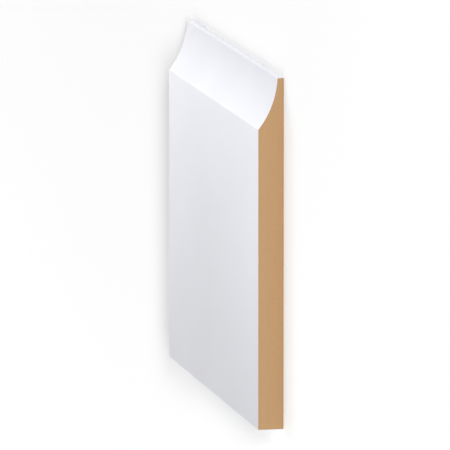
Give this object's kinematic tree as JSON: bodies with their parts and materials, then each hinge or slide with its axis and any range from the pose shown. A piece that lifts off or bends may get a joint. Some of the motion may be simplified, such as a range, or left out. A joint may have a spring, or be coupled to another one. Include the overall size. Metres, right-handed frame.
{
  "type": "skirting board length",
  "caption": "Square-cut length of primed MDF skirting board: a tall flat face with a long shallow cove hollowed along its top edge.",
  "frame": {"origin": "middle of the back face, on the floor that the board lies on", "axes": "+X along the length, +Y up the board's height from its floor edge to its coved edge, +Z out of the front face"},
  "size_m": [0.3, 0.245, 0.018],
  "materials": {
    "primed_mdf": "satin white primer on the face, cove and long edges, bare fibreboard on the cut ends and back"
  },
  "bodies": {
    "root": {"skirting_board": "primed_mdf"}
  },
  "joints": []
}
